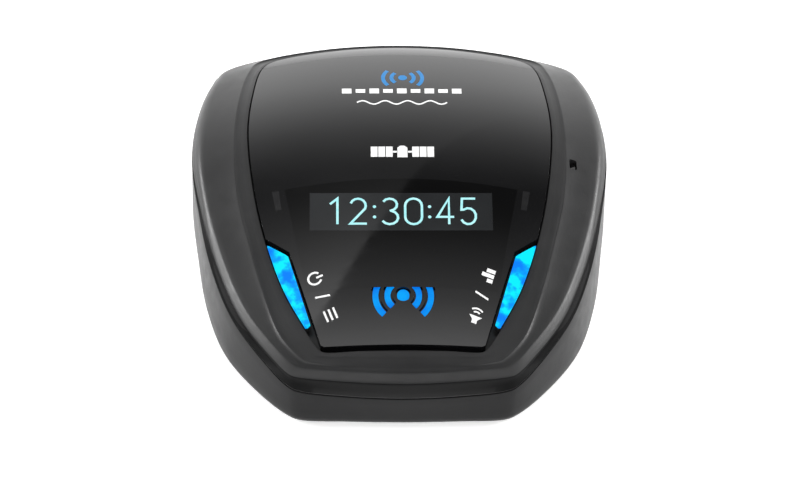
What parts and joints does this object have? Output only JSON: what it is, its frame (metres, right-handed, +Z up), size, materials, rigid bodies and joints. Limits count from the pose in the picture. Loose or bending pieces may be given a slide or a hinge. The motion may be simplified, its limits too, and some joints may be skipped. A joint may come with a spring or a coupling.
{
  "type": "radar detector",
  "caption": "Compact dashboard radar detector: crowned gloss face over a small display, back-lit side keys, split matte housing, antenna window in the far end.",
  "frame": {"origin": "on the flat base, at the middle of the body's overall width and length", "axes": "+Z up, -Y towards the driver's end (keys), +Y towards the windscreen end (antenna window), +X to the driver's right"},
  "size_m": [0.0742, 0.0819, 0.023],
  "materials": {
    "housing": "fine matte black texture",
    "face": "polished smoked black",
    "key": "translucent, back-lit blue",
    "window": "smoked, infrared-clear",
    "label": "silver film",
    "board": "green solder mask",
    "chip": "moulded black",
    "steel": "plated",
    "zinc": "as cast",
    "ceramic": "fired ceramic",
    "display": "dark glass",
    "foam": "foam",
    "flex": "polyimide film",
    "speaker": "moulded basket and paper cone"
  },
  "bodies": {
    "housing": {"top_cover": "housing", "lower_housing": "housing", "face_panel": "face", "antenna_window": "window", "rating_label": "label", "light_sensor_pipe": "display", "light_sensor": "chip", "main_board": "board", "processor_chip": "chip", "memory_chip": "chip", "power_inductor": "chip", "backup_battery": "steel", "gps_receiver": "steel", "gps_patch_antenna": "ceramic", "horn_antenna": "zinc", "rf_board": "board", "rf_shield": "steel", "laser_receiver": "chip", "display_bezel": "housing", "display_module": "display", "display_flex": "flex", "emblem_light_guide": "key", "emblem_lamp": "ceramic", "speaker": "speaker", "speaker_gasket": "foam", "dc_jack": "chip", "usb_jack": "steel", "right_switch": "chip", "right_key_lamp": "ceramic", "left_switch": "chip", "left_key_lamp": "ceramic", "housing_screw_1": "steel", "housing_screw_2": "steel", "housing_screw_3": "steel", "housing_screw_4": "steel", "board_screw_1": "steel", "board_screw_2": "steel", "board_screw_3": "steel", "board_screw_4": "steel"},
    "right_key_body": {"right_key": "key", "right_switch_plunger": "ceramic"},
    "left_key_body": {"left_key": "key", "left_switch_plunger": "ceramic"}
  },
  "joints": [
    {"name": "right_key_press", "type": "slide", "parent": "housing", "child": "right_key_body", "axis": [0, 0, -1], "range_m": [0, 0.0005], "stiffness_N_per_m": 1500},
    {"name": "left_key_press", "type": "slide", "parent": "housing", "child": "left_key_body", "axis": [0, 0, -1], "range_m": [0, 0.0005], "stiffness_N_per_m": 1500}
  ]
}
